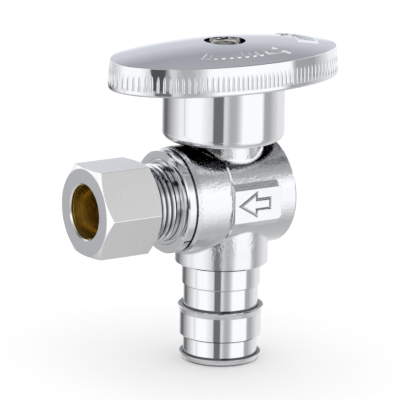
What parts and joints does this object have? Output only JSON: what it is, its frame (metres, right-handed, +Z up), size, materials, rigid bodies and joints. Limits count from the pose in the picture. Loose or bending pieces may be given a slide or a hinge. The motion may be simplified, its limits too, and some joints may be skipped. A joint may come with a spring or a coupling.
{
  "type": "angle stop valve",
  "caption": "Chromed quarter-turn angle stop valve with an oval fluted handle, a compression tube outlet and a ribbed barb inlet.",
  "frame": {"origin": "centre of the inlet mouth, at the lower end of the barb", "axes": "+Z up along the inlet and stem axis; the outlet points along -X, 30.9 mm above the origin"},
  "size_m": [0.0524, 0.0272, 0.0592],
  "materials": {
    "body_chrome": "forged and chrome plated",
    "connector_chrome": "turned and chrome plated",
    "nut_chrome": "machined hexagon, chrome plated",
    "ferrule_brass": "bare turned brass",
    "seal_rubber": "smooth nitrile rubber",
    "seat_ptfe": "white PTFE",
    "ring_acetal": "natural acetal",
    "ball_chrome": "polished and chrome plated",
    "stem_brass": "bare turned brass",
    "handle_chrome": "cast, polished and chrome plated",
    "screw_steel": "nickel plated steel",
    "washer_steel": "zinc plated spring steel"
  },
  "bodies": {
    "valve": {"valve_body": "body_chrome", "outlet_connector": "connector_chrome", "connector_oring": "seal_rubber", "outlet_seat": "seat_ptfe", "rear_seat": "seat_ptfe", "stem_thrust_washer": "seat_ptfe", "stem_friction_ring": "ring_acetal"},
    "handle_stem": {"handle": "handle_chrome", "handle_screw": "screw_steel", "screw_lock_washer": "washer_steel", "stem": "stem_brass", "stem_oring_lower": "seal_rubber", "stem_oring_upper": "seal_rubber"},
    "ball": {"ball": "ball_chrome"},
    "ferrule": {"compression_ferrule": "ferrule_brass"},
    "nut": {"compression_nut": "nut_chrome"}
  },
  "joints": [
    {"name": "handle_turn", "type": "hinge", "parent": "valve", "child": "handle_stem", "pos_m": [0, 0, 0.0309], "axis": [0, 0, 1], "range_deg": [-90, 0]},
    {"name": "ball_turn", "type": "hinge", "parent": "valve", "child": "ball", "pos_m": [0, 0, 0.0309], "axis": [0, 0, 1], "range_deg": [-90, 0]},
    {"name": "ferrule_slide", "type": "slide", "parent": "valve", "child": "ferrule", "axis": [-1, 0, 0], "range_m": [0, 0.00477]},
    {"name": "nut_turn", "type": "hinge", "parent": "ferrule", "child": "nut", "pos_m": [-0.0186, 0, 0.0309], "axis": [-1, 0, 0], "range_deg": [0, 1620]}
  ],
  "couplings": [
    {"joint": "ball_turn", "follows": "handle_turn", "ratio": 1},
    {"joint": "ferrule_slide", "follows": "nut_turn", "m_per_rad": 0.00016843}
  ]
}
